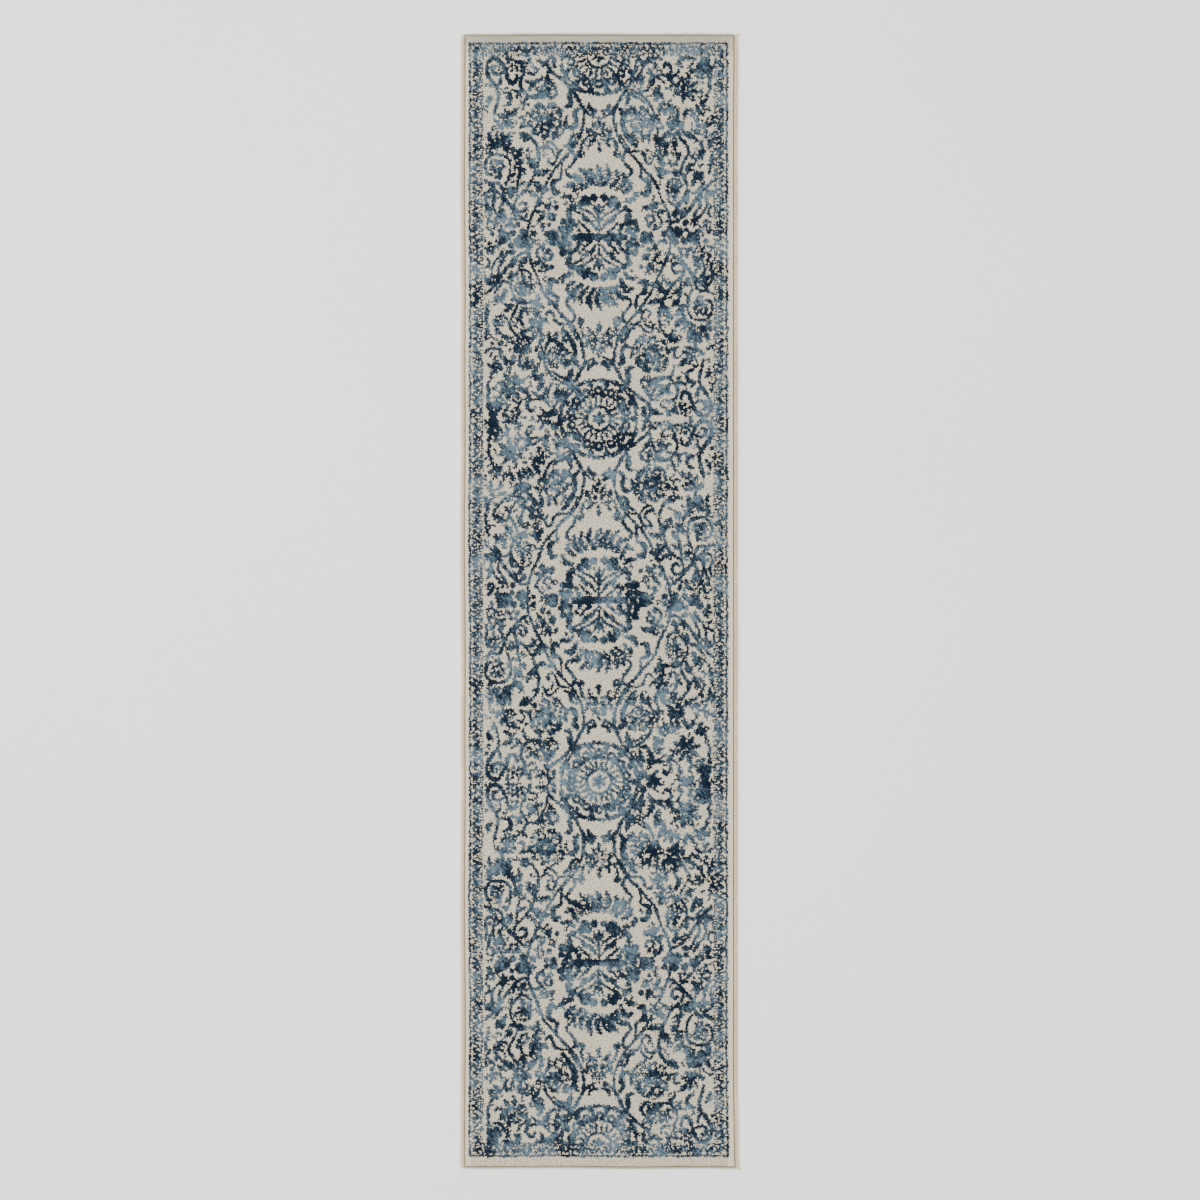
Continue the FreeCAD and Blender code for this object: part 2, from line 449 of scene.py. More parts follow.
# Rosette
group = "medallions"
petals(6, 0, 0, 4, 13, 6, 30)
dot(5, 0, 0)
arc(5, 0, 0, 23, 0, 345)
dots(4.6, 0, 0, 29, 16, 12)
petals(4.6, 0, 0, 31, 41, 22)
for i in range(14):
    arc(5.6, *around(0, 0, 54, 90 + 360 * i / 14), 6.2, 0, 350)
dots(7.5, 0, 0, 47, 14, 103)
dots(6, 0, 0, 57, 14, 103)
dots(10, 0, 0, 67, 14, 103)
arc(3.6, 0, 0, 73, 0, 352)
for start, end in ((14, 40), (48, 70), (110, 132), (140, 166)):
    arc(4, 0, 0, 77, start, end)
dots(5, 0, 0, 75, 5, 76, 36)

# Lattice stems
group = "vines"
vine(5, (97, 6), (98, 18), (93, 30), (80, 39), (66, 50), (54, 62), (45, 74), (38, 88), (31, 99), (22, 111),
     (10, 118))
vine(5, (-86, 20), (-79, 34), (-66, 48), (-54, 62), (-45, 74), (-38, 88), (-32, 99), (-22, 111), (-10, 118))
vine(4.2, (33, 98), (29, 112), (31, 135), (38, 158), (50, 178), (66, 197), (80, 212), (93, 231), (103, 250))
vine(4.2, (-33, 98), (-29, 112), (-31, 135), (-38, 158), (-52, 180), (-74, 202), (-90, 222), (-106, 240),
     (-114, 258), (-120, 276), (-130, 297), (-136, 318), (-139, 349))
vine(4.6, (103, 250), (110, 266), (118, 282), (125, 298), (132, 314), (136, 330), (139, 349))
vine(3.6, (40, 150), (48, 166), (60, 181), mirror=True)
vine(4.6, (60, 181), (48, 188), (46, 199), (54, 211), (62, 221), (58, 231), (49, 236), mirror=True)
vine(4, (62, 182), (74, 183), (81, 192), (84, 203), (91, 209), (98, 204), (96, 196))
vine(4, (-62, 183), (-78, 183), (-87, 191), (-90, 203), (-97, 207), (-103, 200))
vine(4, (88, 191), (91, 181), (101, 176), (109, 183))
vine(4, (71, 206), (72, 222), (73, 234), (80, 239))
vine(4, (-80, 208), (-81, 222), (-80, 233), (-86, 238))
vine(8, (80, 240), (88, 243), (88, 256), (84, 265), (77, 262))
vine(8.5, (-86, 238), (-95, 242), (-95, 256), (-90, 266), (-82, 264))
leaf(9, (57, 70), (53, 96), -1, mirror=True)
leaf(8, (-56, 70), (-71, 82), 1)
dot(9, 52, 65, mirror=True)
leaf(6.5, (52, 92), (67, 98), 2)
# The long S leaves beside the small palmette
vine(8, (40, 103), (47, 112), (44, 126), (49, 138), (58, 138))
vine(3.6, (62, 116), (63, 128), (61, 138))
vine(8.5, (-40, 103), (-48, 113), (-45, 128), (-50, 146), (-60, 162), (-70, 173))
vine(6, (44, 149), (53, 156), (56, 168), (66, 175))
# Curls under the rosette
vine(6.5, (20, 95), (17, 104), (6, 107), mirror=True)

# Small palmette between the crossings
group = "flowers"
dot(12, 8, 151, mirror=True)
each(leaf, (7, (4, 142), (12, 128)), (7.5, (18, 154), (25, 137)), mirror=True)
leaf(6, (0, 136), (0, 118))
dot(6, 14, 141, mirror=True)
vine(4.6, (5, 161), (15, 165), (21, 176), mirror=True)
dot(8, 0, 170)
leaf(7, (0, 174), (0, 186))
vine(4.2, (14, 164), (22, 158), (29, 161), (33, 172), (36, 182), mirror=True)
each(dot, (16, 35, 188), (7, 10, 112), mirror=True)

# Leaf wreath over the great medallion
group = "leaves"
each(blade, (8.5, (-72, 262), (-66, 275), (-50, 279)), (9, (-58, 240), (-60, 253), (-47, 263)),
     (9, (-46, 225), (-48, 244), (-33, 257)), (9, (-33, 219), (-36, 238), (-23, 252)),
     (9.5, (-15, 211), (-20, 231), (-9, 249)), (9.5, (4, 211), (-4, 230), (4, 249)),
     (9.5, (20, 217), (9, 232), (14, 249)), (9.5, (36, 217), (22, 233), (25, 252)),
     (10, (53, 231), (38, 237), (33, 256)), (9.5, (65, 252), (52, 248), (42, 268)),
     (8.5, (73, 272), (58, 271), (50, 280)))
vine(5.5, (-68, 262), (-72, 268), (-64, 276))
vine(5, (62, 282), (64, 286))

# Great medallion (its upper half)
group = "medallions"
each(dot, (13, 10, 273), (16, 27, 276), (14, 35, 286), (13, 21, 285), (12, 50, 292), (10, 58, 298),
     (11, 57, 308), (15, 56, 321), (14, 69, 320), (13, 72, 334), (14, 58, 336), (14, 66, 347),
     (9, 44, 326), (9, 39, 336), mirror=True)
vine(4.6, (0, 340), (0, 316), (0, 304))
leaf(6, (0, 304), (0, 286))
vine(4, (1, 320), (11, 307), (24, 299), (38, 293), mirror=True)
vine(4.2, (4, 334), (18, 319), (32, 306), (47, 298), mirror=True)
vine(4, (16, 342), (27, 331), (38, 319), mirror=True)
each(leaf, (5, (3, 306), (10, 288)), (5, (9, 327), (17, 314)), (4.6, (23, 321), (33, 311)),
     (4.6, (16, 338), (28, 330)), mirror=True)
vine(9, (-52, 347), (-25, 346), (0, 348), (25, 346), (52, 347))

# Paired florets beside the medallion
group = "leaves"
each(dot, (9, 81, 293), (10, -91, 292))
each(leaf, (8.5, (97, 300), (92, 281)), (9, (-112, 292), (-98, 286), 1))
dot(10, 100, 292, mirror=True)
vine(4.4, (101, 290), (107, 283), (116, 286), mirror=True)
leaf(8.5, (104, 300), (117, 318), 2)
vine(5, (-101, 296), (-108, 300), (-113, 308))
arc(5, 90, 311, 5, 0, 350)
leaf(8.5, (108, 324), (108, 337), mirror=True)
each(dot, (7, 96, 325), (8, 118, 300), (18, 88, 345), (9, 101, 343), (10, 126, 342), mirror=True)

# Left side: flower with its wreath
group = "flowers"
arc(8, -169, 62, 7.5, 0, 345)
petals(9, -168, 62, 11, 28, 8, 29)
group = "leaves"
each(blade, (9, (-213, 104), (-204, 100), (-197, 90)), (9, (-202, 114), (-194, 106), (-189, 95)),
     (8, (-184, 120), (-181, 112), (-178, 104)), (9, (-165, 121), (-166, 112), (-171, 104)),
     (8, (-150, 121), (-153, 110), (-153, 102)), (8, (-138, 117), (-142, 106), (-147, 97)),
     (10, (-127, 113), (-130, 104), (-138, 96)), (8, (-114, 107), (-120, 97), (-127, 87)),
     (10, (-106, 86), (-113, 80), (-121, 75)), (10, (-107, 77), (-112, 68), (-116, 57)))
dot(9, -122, 80)
group = "vines"
vine(5, (-210, 78), (-204, 89), (-200, 98))
vine(5, (-210, 120), (-206, 129))
dot(10, -137, 43)
vine(5, (-138, 44), (-143, 55), (-138, 60))
each(dot, (11, -97, 7), (14, -85, 14), (9, -76, 5), (7, -105, 4))
vine(4.6, (-119, 6), (-111, 3), (-107, 12), (-113, 20))
vine(4.4, (-216, 38), (-212, 52), (-214, 66), (-205, 78))
vine(4.6, (-96, 24), (-104, 36), (-112, 38), (-124, 37))
vine(5.2, (-124, 38), (-134, 37), (-139, 28), (-136, 18), (-128, 15), (-124, 22))
vine(4.4, (-139, 40), (-150, 36), (-156, 26))
vine(4.4, (-128, 52), (-118, 44), (-106, 40))
vine(4, (-150, 58), (-138, 50), (-132, 42))
group = "leaves"
each(leaf, (8.5, (-104, 36), (-100, 60), 2), (8, (-116, 60), (-107, 78), -2), (9, (-88, 38), (-80, 60), -3))
vine(4.4, (-96, 28), (-99, 46), (-96, 62), (-88, 68), (-76, 63))
vine(3.8, (-84, 30), (-76, 44), (-67, 58))

# Left edge: half palmette on the rosette's level
each(dot, (18, -204, 8), (15, -194, 20), (16, -209, 25), (13, -198, 30), (9, -213, 38))
vine(8, (-184, 7), (-171, 4), (-158, 6), (-153, 13), (-160, 20))
vine(5.2, (-179, 15), (-174, 22), (-178, 29), (-187, 29), (-188, 21))
vine(4.6, (-196, 36), (-202, 42), (-192, 40), (-184, 33))
dot(7, -205, -2)

# Left: bowed stem round the scalloped flower
group = "vines"
vine(4.4, (-54, 62), (-68, 68), (-82, 76), (-94, 87), (-103, 103), (-106, 122), (-103, 138), (-97, 150),
     (-97, 163))
vine(3.4, (-62, 72), (-78, 82), (-88, 90))
group = "flowers"
arc(8, -77, 121, 21, 200, 262)
arc(8, -72, 120, 20, 282, 335)
arc(7, -80, 119, 20, 120, 188)
arc(6.5, -77, 118, 21, 40, 112)
arc(3.4, -67, 110, 5, 0, 340)
arc(3.4, -83, 124, 6, 0, 340)
petals(4.6, -76, 119, 4, 12, 6, 20)
dots(5, -76, 119, 14.5, 8, 22)
vine(3, (-76, 122), (-64, 124), (-54, 128), (-48, 122))
each(leaf, (6, (-68, 142), (-84, 152), 3), (6, (-64, 146), (-74, 164), -2), (8, (-90, 148), (-96, 166), 2),
     (7, (-84, 150), (-80, 166), 2))
dot(8, -70, 136)

# Left: heart of crossing stems and its buds
group = "vines"
vine(4.2, (-150, 118), (-153, 128), (-146, 138), (-132, 147), (-121, 160), (-117, 176), (-113, 190),
     (-104, 192), (-99, 184))
vine(4.2, (-153, 128), (-160, 142), (-176, 152), (-188, 162), (-198, 174), (-203, 186))
vine(4.2, (-148, 140), (-156, 154), (-166, 168), (-173, 184), (-166, 198), (-160, 210), (-156, 222))
vine(4.2, (-146, 154), (-143, 168), (-149, 184), (-150, 198), (-143, 212))
vine(3.6, (-117, 176), (-122, 196), (-120, 212))
vine(3.8, (-112, 112), (-116, 124), (-110, 134), (-114, 146), (-110, 160), (-113, 172))
group = "leaves"
each(leaf, (11, (-153, 126), (-163, 138), 1), (12, (-150, 126), (-136, 136), -2),
     (9, (-132, 128), (-142, 140), 1), (12, (-164, 148), (-179, 160), 2), (8, (-152, 142), (-156, 162), 1))
arc(4.4, -134, 163, 8, 0, 350)
each(dot, (7, -124, 160), (8, -131, 175), (11, -129, 187), (6, -137, 150))
vine(4.4, (-119, 165), (-126, 178), (-128, 187))
each(leaf, (8, (-112, 120), (-104, 112)), (7, (-112, 150), (-106, 162), 1),
     (7, (-122, 130), (-116, 140), 1), (8, (-148, 148), (-142, 160)), (7, (-147, 158), (-150, 173)),
     (7, (-110, 160), (-116, 171)))
vine(4.6, (-112, 170), (-112, 182), (-105, 191))
vine(4.6, (-158, 186), (-153, 198), (-147, 210))
each(leaf, (7, (-136, 200), (-140, 214)), (8, (-121, 208), (-114, 194), 1))
# Left edge hooks
vine(5, (-220, 128), (-210, 134), (-198, 137), (-188, 130), (-190, 120))
each(dot, (10, -189, 146), (7, -180, 142))
vine(4, (-196, 150), (-208, 158), (-214, 170), (-212, 180))
vine(4.2, (-203, 182), (-198, 194), (-188, 199), (-178, 194), (-172, 186))
arc(3.8, -190, 186, 5.5, 0, 340)
dot(7, -198, 165)
each(leaf, (7.5, (-218, 150), (-216, 176), 1), (7.5, (-218, 182), (-212, 226), 2))
dot(6, -206, 145)

# Left: sprigs under the heart
leaf(9, (-156, 220), (-142, 228), 1)
dot(12, -150, 226)
leaf(9, (-150, 222), (-136, 222), 2)
dot(10, -172, 213)
each(leaf, (8, (-172, 216), (-184, 206), 2), (7, (-166, 218), (-181, 220), 1))
vine(4.2, (-156, 222), (-166, 232), (-170, 222))
each(leaf, (9, (-118, 238), (-122, 206), 1), (7, (-118, 226), (-106, 212), -1),
     (7, (-120, 228), (-136, 222), 1), (7, (-118, 214), (-128, 206), 1))
vine(8, (-198, 225), (-195, 236), (-188, 226), (-184, 240), (-180, 249))
# Flower in its oval
group = "vines"
vine(4.4, (-156, 226), (-165, 238), (-170, 252), (-168, 266), (-160, 278), (-152, 286), (-140, 285),
     (-131, 276))
group = "flowers"
petals(6, -146, 256, 3, 13, 7, 90)
arc(3.4, -146, 256, 15.5, 200, 320, 1.2)
dots(4.6, -146, 257, 17, 7, 200, 140, 1.2)
leaf(8, (-145, 268), (-148, 280))
vine(4.4, (-135, 240), (-132, 256), (-134, 272))
group = "leaves"
leaf(11, (-168, 284), (-170, 264), 1)
vine(6.5, (-160, 280), (-150, 290), (-151, 299), (-160, 303), (-166, 293))

# Left: double diagonal to the lower corner
group = "vines"
vine(5.4, (-219, 240), (-207, 251), (-194, 266), (-184, 281), (-173, 296), (-161, 309), (-148, 318),
     (-136, 320))
vine(5, (-202, 243), (-193, 255), (-185, 264), (-174, 262))
vine(4.4, (-221, 282), (-219, 264), (-210, 259), (-204, 266), (-208, 275))
vine(5, (-207, 276), (-200, 273), (-193, 268))
vine(4.4, (-206, 276), (-206, 290), (-200, 302))
vine(4.2, (-221, 290), (-213, 292), (-210, 301), (-216, 309))
vine(4.8, (-193, 278), (-193, 291), (-186, 301), (-182, 312), (-176, 322))
vine(4.2, (-197, 306), (-188, 314), (-182, 326))
group = "leaves"
dot(9, -212, 268)
arc(5.5, -208, 324, 6, 0, 350)
vine(5, (-191, 314), (-184, 327))
each(dot, (11, -145, 305), (9, -211, 337), (10, -166, 320), (9, -190, 338), (22, -181, 349),
     (20, -150, 340), (12, -136, 333), (9, -168, 334), (10, -137, 347))
leaf(6, (-199, 345), (-194, 326))
group = "vines"
vine(5, (-124, 299), (-117, 298), (-113, 306), (-119, 315), (-119, 325), (-112, 332))
arc(4.8, -98, 313, 7, 90, 400)

# Right: loop at the top corner
vine(6.5, (158, 38), (160, 48), (168, 52), (175, 44), (180, 30), (187, 14), (200, 5), (212, 10), (216, 24),
     (213, 38), (204, 52), (198, 60))
vine(5.2, (197, 19), (205, 20), (204, 31), (194, 35), (184, 31))
vine(5, (190, 43), (191, 54), (197, 62), (193, 74), (195, 88), (199, 102), (202, 114))
vine(6, (184, 71), (174, 73), (169, 82), (173, 92), (181, 95))
group = "leaves"
leaf(8.5, (206, 80), (214, 98), -3)
dot(6, 217, 55)
# Sprigs between the rosette and the loop
each(leaf, (7.5, (101, 10), (110, 20), 1), (6.5, (104, 14), (122, 9), -1), (6, (88, 20), (84, 4), 1),
     (7, (96, 0), (84, 12), 1))
dot(7, 86, 20)
arc(3.6, 128, 28, 8.5, 20, 300, 0.9)
leaf(7, (132, 4), (140, 20), 1)
vine(4.2, (140, 20), (146, 30), (142, 38))
dots(6.5, 166, 17, 9.5, 6, 30)
each(dot, (7, 166, 17), (7, 156, 28), (7, 150, 12), (7, 176, 4))
leaf(6.5, (150, 24), (142, 10))

# Right: shield with a spray in it
group = "vines"
vine(5, (98, 28), (102, 46), (109, 62), (119, 76), (132, 79), (143, 71), (150, 60), (150, 46), (143, 34))
vine(4.4, (104, 79), (120, 80), (136, 80), (144, 90), (146, 102))
vine(5, (146, 68), (156, 70), (167, 66))
group = "leaves"
each(leaf, (8, (151, 70), (159, 83), 1), (8, (126, 58), (108, 42), 2), (8, (126, 60), (140, 48), -2),
     (7, (124, 56), (122, 44)), (7, (130, 64), (138, 66)), (7, (122, 64), (116, 60)))
dot(7, 130, 56)
leaf(8.5, (98, 42), (80, 66), -2)
vine(5, (79, 66), (84, 77), (92, 81), (99, 79))
each(leaf, (8.5, (100, 58), (96, 78), 2), (9, (102, 66), (116, 80), 2))

# Right: great daisy
group = "flowers"
daisy(103, 126, 33, 9, 70)
each(leaf, (9, (82, 99), (95, 92), 2), (8.5, (86, 98), (98, 94), -2), (9, (113, 92), (125, 99), 2),
     (9, (78, 100), (75, 119), 1))
arc(3.4, 103, 126, 38, 110, 190)

# Right: spiral vine and its leaves
group = "vines"
vine(4.6, (138, 150), (126, 163), (118, 178), (116, 195), (119, 212), (124, 226), (129, 240), (137, 253),
     (147, 264), (157, 272), (163, 283), (162, 294), (153, 300), (143, 297), (141, 287), (147, 281),
     (154, 285))
vine(4.2, (152, 213), (153, 230), (157, 246), (158, 260), (160, 274))
vine(4.2, (187, 133), (186, 148), (184, 163), (176, 178), (166, 188), (160, 204))
vine(4.4, (172, 200), (170, 216), (172, 234), (179, 248))
vine(3.8, (150, 135), (144, 126), (148, 117), (156, 119))
vine(5.2, (128, 134), (140, 134), (152, 137))
vine(4, (80, 180), (88, 170), (98, 166), (106, 176))
group = "leaves"
each(leaf, (15, (132, 158), (152, 148), 2), (15, (121, 219), (140, 193), -2),
     (10, (121, 226), (94, 221), -2), (14, (162, 218), (147, 199), 1), (11, (157, 192), (146, 177), 1),
     (8, (146, 228), (142, 216), 1), (7, (154, 249), (140, 242), 1), (13, (126, 244), (108, 256), -1),
     (14, (118, 260), (97, 258), 2), (8.5, (138, 260), (120, 272), 2), (6, (160, 192), (168, 176), 1))
# Leaf spray at the right
each(leaf, (7, (186, 134), (165, 137), 1), (8, (188, 136), (201, 123), 1), (7, (184, 128), (168, 122), 1),
     (7, (182, 122), (188, 108), 1), (7, (178, 120), (172, 104), 1), (7, (172, 116), (158, 110), 1),
     (6, (168, 110), (152, 102), 1))
vine(3.4, (186, 134), (180, 122), (170, 112), (160, 106))
leaf(6, (170, 128), (160, 130), 1)
# Thick leaves by the right edge
each(leaf, (17, (180, 180), (172, 148), 1), (13, (184, 168), (186, 146), 1),
     (9, (196, 168), (194, 146), 1), (9, (204, 168), (212, 146), 1), (10, (190, 176), (216, 170), 2),
     (9, (188, 166), (204, 172), 1), (7, (176, 186), (164, 176), 1), (8, (206, 190), (216, 176), 1))

# Right: scribbled flower in its oval
group = "vines"
vine(5, (172, 200), (182, 193), (198, 190), (211, 195), (218, 209), (215, 225), (206, 229))
group = "flowers"
leaf(7, (184, 203), (202, 210), -1)
arc(4.2, 196, 211, 12, 20, 200)
arc(4.2, 196, 211, 12, 300, 350)
arc(3.8, 200, 208, 6, 0, 300)
each(leaf, (5, (184, 214), (200, 220), 1), (7, (190, 224), (192, 236), 1))
each(dot, (6, 187, 218), (6, 198, 233))

# Right: double diagonal from the edge
group = "vines"
vine(5.4, (221, 240), (207, 246), (193, 246), (186, 256), (182, 268), (177, 281), (167, 294), (157, 305),
     (146, 314), (134, 320))
vine(4.6, (212, 247), (201, 255), (192, 266), (184, 274), (186, 284), (192, 292))
vine(4.6, (194, 272), (202, 279), (203, 292), (198, 306))
vine(5, (203, 277), (201, 266), (208, 259), (216, 264), (218, 277), (215, 290), (218, 302))
vine(4.6, (208, 293), (209, 304), (214, 313))
group = "leaves"
each(leaf, (12, (171, 272), (165, 254), 1), (9, (166, 258), (180, 256), 1))
dot(8, 209, 272)
leaf(10, (184, 302), (192, 290), 1)
each(dot, (15, 189, 306), (8, 198, 312), (8, 182, 312))
arc(4.4, 208, 326, 8, 0, 340)
dot(7, 212, 316)
dots(5.5, 188, 328, 9, 6, 0)
dot(5, 188, 328)
dots(7, 164, 320, 7.5, 5, 20)
each(dot, (8, 155, 326), (9, 175, 326), (9, 148, 340), (12, 165, 341), (24, 184, 349), (8, 206, 343))
leaf(8, (139, 349), (146, 332), 1)
vine(4.2, (110, 298), (106, 306), (113, 314), (118, 322))
dot(8, 128, 340)
leaf(6, (136, 304), (144, 312))


# Each tuft is one small square of the pile. A stroke turns every tuft that it covers blue,
# and the tufts at its edge fall in or out one by one, as they do on a loom. Sizes are in mm.
TUFT_STEP = 2.0
POINT_GAP = 1.1
SMALLEST_SPOT = 1.25
RAGGED = 0.8
LOBES, LOBE_SIZE = 1.3, 4.3
BARB_PITCH = 3.6
BARB = 1.3
RIM = 1.1
RIM_PALER = 0.22
MISSING = -0.98
FLECK_SIZE, FLECK_LIMIT = 3.6, 0.38
FLECKED = ("flower_tufts", "leaf_tufts")
tufts = {}


def close_points(stroke):
    """Points about a millimetre apart along a stroke, rounded through its own points."""
    points = [Vector(point) for point in (stroke[0], *stroke, stroke[-1])]
    if len(stroke) == 1:
        return points[:1]
    rounded = []
    for before, start, end, after in zip(points, points[1:], points[2:], points[3:]):
        steps = max(2, int((end - start).length / POINT_GAP))
        rounded += interpolate_bezier(start, start + (end - before) / 6,
                                      end - (after - start) / 6, end, steps)
    return rounded


def spot(x, y, half, piece, limit):
    """Turn blue the tufts in a round spot, and some paler ones at its rim."""
    half = max(half + LOBES * noise.noise(Vector((x, y, 1.5)) / LOBE_SIZE), SMALLEST_SPOT)
    reach = half + RIM
    for column in range(math.floor((x - reach) / TUFT_STEP), math.ceil((x + reach) / TUFT_STEP)):
        for row in range(math.floor((y - reach) / TUFT_STEP), math.ceil((y + reach) / TUFT_STEP)):
            across, along = (column + 0.5) * TUFT_STEP, (row + 0.5) * TUFT_STEP
            chance = noise.cell(Vector((column + 0.5, row + 0.5, 3.5)))
            if abs(across) > limit.x or abs(along) > limit.y or chance < MISSING:
                continue
            depth = half + RAGGED * chance - math.hypot(across - x, along - y)
            flecked = (piece in FLECKED and
                       noise.noise(Vector((across, along, 2.5)) / FLECK_SIZE) > FLECK_LIMIT)
            if depth > 0 and flecked:
                tufts.pop((column, row), None)
            elif depth > 0:
                tufts[column, row] = piece, 0.0
            elif depth > -RIM * (0.5 + chance) and (column, row) not in tufts:
                tufts[column, row] = piece, RIM_PALER


def tuft_in(stroke, piece, limit, barbs=False):
    """Tuft one stroke. Barbs are the small leaflets set along both its sides."""
    points = close_points(stroke)
    travelled, side = 0.0, 1
    for here, after in zip(points, points[1:] + points[-1:]):
        spot(*here, piece, limit)
        step = (after - here).xy
        travelled += step.length
        if barbs and travelled > BARB_PITCH and step.length:
            travelled, side = 0.0, -side
            out = Vector((-step.y, step.x)).normalized() * side * (here.z + BARB * 0.7)
            spot(here.x + out.x, here.y + out.y, BARB, piece, limit)


# The figure repeats from rosette to great medallion and back, turning half round about
# each medallion and mirroring about each rosette. Each entry is where the rosette lies,
# which way its medallion is, and whether the width is turned over.
REPEAT = 349.1
FIGURE_MIDDLE = Vector((-0.8, 1.6))
COPIES = [(-3, 1, 1), (-1, -1, -1), (-1, 1, -1), (1, -1, 1), (1, 1, 1), (3, -1, -1)]
FIELD = Vector((221.0, 1047.0))
SWAY, SWAY_SIZE = 1.6, 42.0
SWELL, SWELL_SIZE = 0.3, 17.0


def placed(stroke, plump, rosette, way, turned):
    """One stroke of the repeat at its place on the rug, a touch unlike its fellows."""
    out = []
    for x, y, half in stroke:
        place = Vector((x * turned, rosette * REPEAT + way * y)) + FIGURE_MIDDLE
        sway = noise.noise_vector(Vector((place.x, place.y, 5.0)) / SWAY_SIZE)
        swell = noise.noise(Vector((place.x, place.y, 9.0)) / SWELL_SIZE)
        out.append((place.x + sway.x * SWAY, place.y + sway.y * SWAY,
                    half * plump * (1.0 + SWELL * swell)))
    return out


for copy in COPIES:
    for kind, piece, plump, barbed in (("vines", "stem_tufts", 1.19, False),
                                       ("leaves", "leaf_tufts", 0.98, True),
                                       ("buds", "bud_tufts", 1.1, False),
                                       ("flowers", "flower_tufts", 0.98, True),
                                       ("medallions", "medallion_tufts", 1.09, False)):
        for stroke in strokes[kind]:
            tuft_in(placed(stroke, plump, *copy), piece, FIELD, barbed)


def ivory_room(x, y, reach):
    """True where no tuft within reach, in tufts, is blue yet."""
    column, row = math.floor(x / TUFT_STEP), math.floor(y / TUFT_STEP)
    return not any((column + i, row + j) in tufts for i in range(-reach, reach + 1)
                   for j in range(-reach, reach + 1))


# Curled sprigs fill the gaps that the great shapes leave, mostly towards the sides.
SPRIGS = 5200
SPRIG_STEP = 4.2
PLAIN_MIDDLE, ITS_EDGE = 78, 20
dice = random.Random(8)
for _ in range(SPRIGS):
    x, y = dice.uniform(-FIELD.x, FIELD.x) + FIGURE_MIDDLE.x, dice.uniform(-FIELD.y, FIELD.y)
    heading, curl = dice.uniform(0, math.tau), dice.choice((-1, 1)) * dice.uniform(0.7, 1.3)
    in_the_middle = abs(x) < PLAIN_MIDDLE + ITS_EDGE * dice.random()
    if in_the_middle or not ivory_room(x, y, 1) or ivory_room(x, y, 4):
        continue
    sprig = [(x, y, dice.uniform(1.2, 1.9))]
    for _ in range(dice.randint(1, 3)):
        x, y = x + SPRIG_STEP * math.cos(heading), y + SPRIG_STEP * math.sin(heading)
        heading += curl
        sprig.append((x, y, dice.uniform(0.9, 1.7)))
    tuft_in(sprig, "bud_tufts", FIELD)

# ---------------------------------------------------------------------------------------
# Border: an outer guard line, a band of small leaves, and a dotted inner guard line, in
# the same blue yarns, round the whole field. The band is a little nearer the left edge.
BORDER_MIDDLE = Vector((-2.0, 2.6))
OUTER_GUARD = Vector((247.0, 1070.0))
LEAF_BAND = Vector((235.6, 1059.5))
INNER_GUARD = Vector((225.8, 1049.6))
BORDER_LIMIT = Vector((252.0, 1076.0))
DASH, DASH_WAVE, DASH_HALF = (9, 34), 1.3, (1.1, 1.9)
DOT_ROWS, DOT_PITCH, DOT_HALF = (-1.9, 1.9), (4.6, 6.0), (0.8, 1.5)
LEAF_PITCH, LEAF_LONG, LEAF_WIDE, LEAF_HALF = 6.3, 5.2, 2.6, (1.4, 2.6)
BLOT_HALF = (1.1, 2.2)
CORNER_PASSES = 4

dice = random.Random(21)
border = []


def sides_of(frame_half):
    """The four runs of a border frame: start corner, direction and length."""
    x, y = frame_half
    return [((-x, -y), (1, 0), 2 * x), ((x, -y), (0, 1), 2 * y),
            ((x, y), (-1, 0), 2 * x), ((-x, y), (0, -1), 2 * y)]


def at(start, way, along, outwards):
    """A point on a border run; outwards is away from the field."""
    return (start[0] + way[0] * along + way[1] * outwards + BORDER_MIDDLE.x,
            start[1] + way[1] * along - way[0] * outwards + BORDER_MIDDLE.y)


for start, way, length in sides_of(OUTER_GUARD):
    along = 0.0
    while along < length - 3:
        dash = min(dice.uniform(*DASH), length - along)
        wave = [dice.uniform(-DASH_WAVE, DASH_WAVE) for _ in range(3)]
        border.append([(*at(start, way, along + dash * k / 2, wave[k]), dice.uniform(*DASH_HALF))
                       for k in range(3)])
        along += dash + dice.choice((0.0, 0.0, 0.0, 2.0))

for start, way, length in sides_of(INNER_GUARD):
    along = 0.0
    while along < length:
        for row in DOT_ROWS:
            place = at(start, way, along + dice.uniform(-1, 1), row + dice.uniform(-0.4, 0.4))
            border.append([(*place, dice.uniform(*DOT_HALF))])
        along += dice.uniform(*DOT_PITCH)

for start, way, length in sides_of(LEAF_BAND):
    lean = 1
    for i in range(int(length / LEAF_PITCH) + 1):
        along = i * LEAF_PITCH + dice.uniform(-1.0, 1.0)
        lean = -lean if dice.random() < 0.75 else lean
        size = dice.uniform(*LEAF_HALF)
        border.append([(*at(start, way, along - LEAF_WIDE, LEAF_LONG * lean), size * 0.6),
                       (*at(start, way, along, dice.uniform(-1.6, 1.6)), size),
                       (*at(start, way, along + LEAF_WIDE, -LEAF_LONG * lean), size * 0.6)])
        border.append([(*at(start, way, along + dice.uniform(-3, 3), dice.uniform(-4.6, 4.6)),
                        dice.uniform(*BLOT_HALF))])

for stroke in border:
    tuft_in(stroke, "border_tufts", BORDER_LIMIT)

